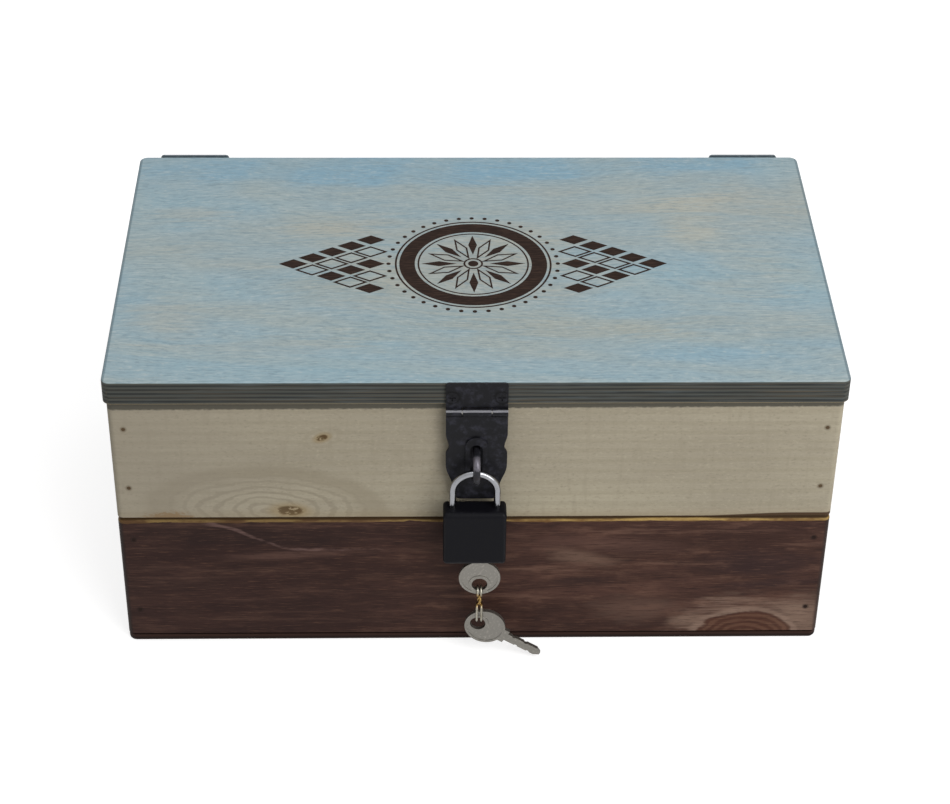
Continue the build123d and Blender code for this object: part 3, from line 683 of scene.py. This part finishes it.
# The warm patches of the figure come first, then the blue along the back edge and in the two
# right corners, a duller front half, and the brown haze that the burning left in the middle.
colour = lid_patches(colour, "#a19e91", 0.36, [
    (95, 38, 17, 14, 20), (114, 55, 14, 8, 10), (-126, 36, 22, 8, 5), (-58, 27, 26, 10, 12),
    (40, -52, 60, 9, -3), (-84, -62, 48, 7, 2), (0, -4, 70, 34, 0), (-128, -40, 16, 20, 30),
    (118, -12, 26, 24, 10),
])
colour = lid_patches(colour, "#aaa799", 0.45, [(92, 45, 22, 10, 6), (96, 22, 13, 8, 0)])
colour = lid_patches(colour, "#7699ac", 0.80, [
    (-60, 74, 120, 14, 0), (30, 74, 90, 14, 4), (110, 80, 44, 8, 0),
])
colour = lid_patches(colour, "#7a9aab", 0.55, [(110, -68, 60, 9, 4)])
colour = lid_patches(colour, "#7a9aab", 0.32, [(136, 70, 14, 18, 0)])
colour = lid_patches(colour, "#8a8d80", 0.22, [(20, -50, 110, 20, 0), (-52, -18, 46, 14, 0)])
colour = lid_patches(colour, "#8b857a", 0.14, [(0, -2.5, 34, 32, 0), (0, -2.5, 64, 14, 0)])
colour = tints(tree, colour, [
    (cloud, 0.48, 0.72, "#7e99a6", 0.36), (figure, 0.50, 1.00, "#a3a396", 0.20),
    (streak, 0.50, 0.70, "#76909b", 0.50), (streak, 0.44, 0.28, "#a9aca4", 0.30),
    (dash, 0.52, 0.70, "#6a7d85", 0.52), (dash, 0.46, 0.30, "#b0babb", 0.38),
    (fleck, 0.54, 0.72, "#6f828a", 0.42), (fleck, 0.44, 0.28, "#b0b6b2", 0.35),
])
# Along the left and right rims the stain gathered, and drew a darker line.
sides = outer_share(tree, place, lid_high[0] - 1.7 * MM, 1.0)
colour = tint(tree, colour, "#53656e", sides, 0.6)

height = axes(tree, place)[2]
lid_layer = 0.95 * MM
layers = ply_layers(tree, place, lid_low[2], lid_layer)
scuffs = stretched_noise(tree, place, 24 * MM, 0.9 * MM, 3.0, 0.6, (0.6, 0.1, 0.2))
threads = stretched_noise(tree, place, 50 * MM, 0.4 * MM, 2.0, 0.6, (0.2, 0.3, 0.8))
edge_colour = tints(tree, mix(tree, layers, "#282a29", "#424440"), [
    (scuffs, 0.50, 0.72, "#525a5c", 0.40), (threads, 0.50, 0.66, "#5b5142", 0.45)])
on_top = span(tree, height, lid_high[2] - 0.55 * MM, lid_high[2] - 0.2 * MM)
colour = mix(tree, on_top, edge_colour, colour)
under = span(tree, height, lid_low[2] + 0.12 * MM, lid_low[2] + 0.04 * MM)
colour = mix(tree, under, colour, bare_wood(tree, grain_place(tree, False)))
coat(tree, shader, colour, dash, 0.4, 0.06 * MM)
dress(lid_ply, "lid_panel")
print("lid dressed")

# %% [markdown]
# ## The metal parts
#
# The hinges, the hasp and the lock are small pressed or cast parts, each with its own
# coating. A coating is never even: it is duller in the hollows, it is rubbed on the edges,
# and dust and handling change its gloss. One function sets a base colour, a second colour in
# worn patches, and how rough and bumpy the surface is. Where one known spot has worn or
# rusted, a mark is laid on it. Marks also paint a highlight on the crown of the staple and of
# the hasp's knuckles, and shade in the dimples round the hasp's screws.

# %% Metal finishes
PORE_SIZE = 0.25 * MM


def metal_finish(name, colour, worn_colour, metallic, rough, patch, amount, level=0.5, marks=()):
    """A coated or plain metal, worn in patches of a size in millimetres over a share amount.

    A mark is a spot with a look of its own: its centre, its radii, its colour and how
    metallic it is. It fades out near its radii. The level sets how much a coating reflects.
    """
    material, tree, shader = new_finish(name, Specular_IOR_Level=level)
    place = add(tree, "TexCoord", out="Object")
    wear = add(tree, "TexNoise", {
        "Vector": place, "Scale": 1 / (patch * MM), "Detail": 5.0, "Roughness": 0.65}, "Fac")
    fine = add(tree, "TexNoise", {
        "Vector": place, "Scale": 1 / PORE_SIZE, "Detail": 2.0, "Roughness": 0.5}, "Fac")
    worn = span(tree, wear, 0.75 - amount, 0.85 - amount * 0.5)
    paint, metal = mix(tree, worn, colour, worn_colour), metallic
    for centre, radii, mark_colour, mark_metallic in marks:
        away = bent_by(tree, oval(tree, place, centre, radii), wear, 1.2)
        near = span(tree, away, 1.1, 0.7)
        paint = mix(tree, near, paint, mark_colour)
        metal = calc(tree, "MULTIPLY_ADD", near, mark_metallic - metallic, metal)
    if marks:
        tree.links.new(metal, shader.inputs["Metallic"])
    else:
        shader.inputs["Metallic"].default_value = metallic
    gloss = add(tree, "MapRange", {0: wear, 1: 0.3, 2: 0.7, 3: rough - 0.08, 4: rough + 0.10})
    tree.links.new(gloss, shader.inputs["Roughness"])
    coat(tree, shader, paint, fine, 0.25, 0.03 * MM)
    return material


# Zinc-plated steel that was tumbled dark: blue-grey with lighter spots, and only half shiny.
hinge_steel = metal_finish("dark tumbled steel", "#666f75", "#828a8c", 0.85, 0.42, 3.0, 0.25)
# A bare steel pin keeps a bright polished strip where the knuckles rub it.
pin_steel = metal_finish("bare pin steel", "#b9b6ae", "#8c8880", 1.0, 0.3, 1.2, 0.2)
# Blackened screws: nearly the hinge's tone, brighter on the rims that the driver touched.
screw_steel = metal_finish("blackened screw steel", "#3d3c3a", "#8b877e", 0.9, 0.4, 0.8, 0.2)
# Pin heads rust where they meet the air, and the walnut stain covers those below the seam.
below = ((0, 0, seam_z / 2), (1.0, 1.0, seam_z / 2 / 0.85), "#1f130f", 0.0)
nail_steel = metal_finish("rusty pin steel", "#4a4033", "#5d4a35", 0.4, 0.65, 0.7, 0.4,
                          level=0.1, marks=[below])
# Black stoving enamel over pressed steel: half matt, with a bright metal line along the crown of
# the knuckles, partly rubbed through and partly a painted highlight.
knuckle_height = 126.8 * MM
crown_wear_and_highlight = ((0, front_y - 5.0 * MM, knuckle_height), (1.0, 0.8 * MM, 0.45 * MM), "#6b6b6f", 0.8)
hasp_enamel = metal_finish("black stove enamel", "#141417", "#2b2b32", 0.0, 0.45, 3.4, 0.30,
                           level=0.12, marks=[crown_wear_and_highlight])
# Painted shade: the dimples round the leaf's screws are drawn thick and black, as the shade in
# their hollows.
screws_low, screws_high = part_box("hasp_leaf_screws")
screw_z = (screws_low[2] + screws_high[2]) / 2
screw_radius = (screws_high[2] - screws_low[2]) / 2
dimple_shade = [((side * (screws_high[0] - screw_radius), screws_low[1], screw_z),
            (1.5 * screw_radius, 4.0 * MM, 1.5 * screw_radius), "#060608", 0.0)
           for side in (-1, 1)]
shaded_leaf_enamel = metal_finish("black stove enamel, painted dimple shade", "#141417", "#2b2b32", 0.0, 0.45, 3.4,
                           0.30, level=0.12, marks=[crown_wear_and_highlight] + dimple_shade)
# The same enamel on the staple, with a painted highlight of bright steel on the crown of its loop,
# and a rusty foot where the bow of the lock rubs.
staple_highlight = ((0, front_y - 11.0 * MM, 105.0 * MM), (1.0, 3.0 * MM, 4.0 * MM), "#66636a", 0.5)
rusty = ((0, front_y - 8.0 * MM, 99.0 * MM), (1.0, 5.0 * MM, 2.4 * MM), "#4c3129", 0.1)
staple_enamel = metal_finish("black stove enamel, rubbed, painted highlight", "#1d1d21", "#3d3d44", 0.1, 0.4, 1.6,
                             0.25, level=0.2, marks=[staple_highlight, rusty])
# Black lacquer on the cast case of the lock: finer and a little darker than the enamel.
lock_lacquer = metal_finish("black lock lacquer", "#0d0d11", "#18181e", 0.0, 0.42, 3.5, 0.12,
                            level=0.08)
# Chrome plate on the shackle: almost a mirror, with hair marks.
shackle_chrome = metal_finish("chrome plate", "#8f9094", "#7d7e82", 1.0, 0.16, 1.5, 0.2)
# Brass of the plug, dulled by the air.
plug_brass = metal_finish("dull brass", "#a88c4c", "#7f6a3c", 1.0, 0.34, 1.0, 0.3)
# Nickel plate on the keys: warm grey, rubbed and slightly rough.
key_nickel = metal_finish("dull nickel plate", "#7b7872", "#96928b", 0.9, 0.38, 1.0, 0.25)
# Galvanised iron wire, with the golden cast that heat left on the twisted part.
wire_low, wire_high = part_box("key_wire")
twist_height = 0.35 * wire_low[2] + 0.65 * wire_high[2]
twist = ((0, wire_low[1], twist_height), (1.0, 1.0, 4.4 * MM), "#94794a", 1.0)
tie_wire = metal_finish("galvanised tie wire", "#9b978c", "#857f70", 1.0, 0.34, 2.2, 0.30,
                        marks=[twist])

dress(hinge_steel, "left_hinge_lid_leaf", "left_hinge_box_leaf", "right_hinge_lid_leaf",
      "right_hinge_box_leaf")
dress(pin_steel, "left_hinge_pin", "right_hinge_pin", "hasp_pin")
dress(screw_steel, "hinge_lid_screws", "hinge_box_screws")
dress(nail_steel, "board_nails", "bottom_nails")
dress(hasp_enamel, "hasp_strap", "hasp_leaf_screws")
dress(shaded_leaf_enamel, "hasp_leaf")
dress(staple_enamel, "staple_plate", "staple_loop", "staple_screws")
dress(lock_lacquer, "padlock_case")
dress(shackle_chrome, "padlock_shackle")
dress(plug_brass, "lock_plug")
dress(key_nickel, "working_key", "spare_key")
dress(tie_wire, "key_wire")
print("metal dressed")

# %% [markdown]
# ## The design burnt into the lid
#
# A laser burns a drawing into the stained face: thin brown lines, and some areas filled
# solid. A drawing could be a shader pattern, but then the exported mesh would lose its crisp
# edge, so each line is a thin flat piece that lies on the lid. All of them start as a circle
# of few or many sides, and an inset turns it into a ring or an outline.

# %% Flat drawing helpers
line_width = 0.9 * MM
burn_depth = 0.05 * MM
# Pieces that overlap lie a hair apart, so that no two of their faces share a plane.
hair = 0.002 * MM
lid_face = lid_high[2]
design_centre = Vector((0.0, -2.5 * MM, lid_face))


def deselect():
    """Nothing stays selected, so that the next operator acts on the new piece alone."""
    if bpy.context.object and bpy.context.object.mode != "OBJECT":
        bpy.ops.object.mode_set(mode="OBJECT")
    bpy.ops.object.select_all(action="DESELECT")


def flat_disc(radius, sides, radius_y=None):
    """A flat face at the origin: an oval, or with four sides a lozenge."""
    deselect()
    bpy.ops.mesh.primitive_circle_add(vertices=sides, radius=radius, fill_type="NGON")
    bpy.ops.object.mode_set(mode="EDIT")
    bpy.ops.transform.resize(value=(1, (radius_y or radius) / radius, 1))
    bpy.ops.object.mode_set(mode="OBJECT")
    return bpy.context.object


def hollow(shape, width=line_width):
    """Keeps only a band of that width inside the outline."""
    deselect()
    shape.select_set(True)
    bpy.context.view_layer.objects.active = shape
    bpy.ops.object.mode_set(mode="EDIT")
    bpy.ops.mesh.select_all(action="SELECT")
    bpy.ops.mesh.inset(thickness=width, depth=0)
    bpy.ops.mesh.delete(type="FACE")
    bpy.ops.object.mode_set(mode="OBJECT")
    return shape


def copy_to(pattern, radius, degrees, size=1.0):
    """A copy of a pattern, at a radius and an angle from the design's centre, turned with it."""
    twin = pattern.copy()
    twin.data = pattern.data.copy()
    bpy.context.scene.collection.objects.link(twin)
    angle = math.radians(degrees)
    twin.location = design_centre + radius * Vector((math.cos(angle), math.sin(angle), 0))
    twin.rotation_euler.z = angle
    twin.scale = (size, size, 1)
    return twin


def settle(pieces, name):
    """Joins flat pieces, gives them the depth of the burn and fixes them to the lid."""
    deselect()
    for number, piece in enumerate(pieces):
        piece.location.z = lid_face + number % 7 * hair
        piece.select_set(True)
    bpy.context.view_layer.objects.active = pieces[0]
    bpy.ops.object.join()
    whole = bpy.context.object
    whole.name = whole.data.name = name
    bpy.ops.object.transform_apply(location=True, rotation=True, scale=True)
    depth = whole.modifiers.new("burn depth", "SOLIDIFY")
    depth.thickness = burn_depth
    depth.offset = 1.0
    bpy.ops.object.modifier_apply(modifier=depth.name)
    whole.data.materials.clear()
    whole.data.materials.append(scorched_birch)
    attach(whole, "lid")


print("design centre:", design_centre)

# %% [markdown]
# ### The burnt finish
#
# Scorched birch is dark brown rather than black, quite matt, and keeps a trace of the grain.

# %% Burnt finish
scorched_birch, tree, shader = new_finish("laser-scorched birch", Roughness=0.85,
                                          Specular_IOR_Level=0.1)
char = stretched_noise(tree, add(tree, "TexCoord", out="Object"), 6 * MM, 0.8 * MM)
colour = mix(tree, span(tree, char, 0.4, 0.7), "#241a16", "#382a23")
coat(tree, shader, colour, char, 0.4, 0.05 * MM)
print("burnt finish:", scorched_birch.name)

# %% [markdown]
# ### The compass star
#
# The middle of the design is a compass star in a solid ring, with a ring of beads round it.
# Outlined and solid rays take turns, so the star reads as light and dark. A pattern is
# modelled once, and every copy has a mesh of its own.

# %% Compass star
rays = 8
beads = 40
long_ray = hollow(flat_disc(11.0 * MM, 4, 3.3 * MM))
short_ray = flat_disc(7.5 * MM, 4, 1.9 * MM)
bead = flat_disc(0.95 * MM, 14)
# Each ring: its radius in millimetres, its number of sides and its width in millimetres.
rings = [(33.5, 112, 0.8), (31.6, 112, 6.6), (23.8, 96, 0.7), (4.2, 40, 0.8)]
star = [hollow(flat_disc(radius * MM, sides), width * MM) for radius, sides, width in rings]
star.append(flat_disc(2.2 * MM, 28))
for ring in star:
    ring.location = design_centre
for step in range(rays):
    star.append(copy_to(long_ray, 12.4 * MM, 360 / rays * (step + 0.5), size=0.78))
    star.append(copy_to(short_ray, 14.6 * MM, 360 / rays * step))
for step in range(beads):
    star.append(copy_to(bead, 36.2 * MM, 360 / beads * step))
settle(star, "engraved_star")
print("pieces in the star:", len(star))

# %% [markdown]
# ### The side wings
#
# A wing of lozenges fills each side of the star, in columns that shrink to a point.
# Outlined and solid lozenges take turns.

# %% Side wings
wing_columns = 5
first_column = 44 * MM
column_step = 8.2 * MM
row_step = 9.4 * MM


def side_wing(side):
    """Columns of lozenges that taper to a tip on one side of the star, -1 left and 1 right."""
    pieces = []
    for column in range(wing_columns):
        rows = wing_columns - column
        for row in range(rows):
            pattern = open_lozenge if (row + column) % 2 else solid_lozenge
            piece = copy_to(pattern, 0.0, 0.0)
            piece.location.x += side * (first_column + column_step * column)
            piece.location.y += (row - (rows - 1) / 2) * row_step
            pieces.append(piece)
    return pieces


open_lozenge = hollow(flat_disc(7.4 * MM, 4, 4.3 * MM))
solid_lozenge = flat_disc(6.2 * MM, 4, 3.6 * MM)
settle(side_wing(-1), "engraved_wing_left")
settle(side_wing(1), "engraved_wing_right")

for pattern in (long_ray, short_ray, bead, open_lozenge, solid_lozenge):
    bpy.data.objects.remove(pattern)
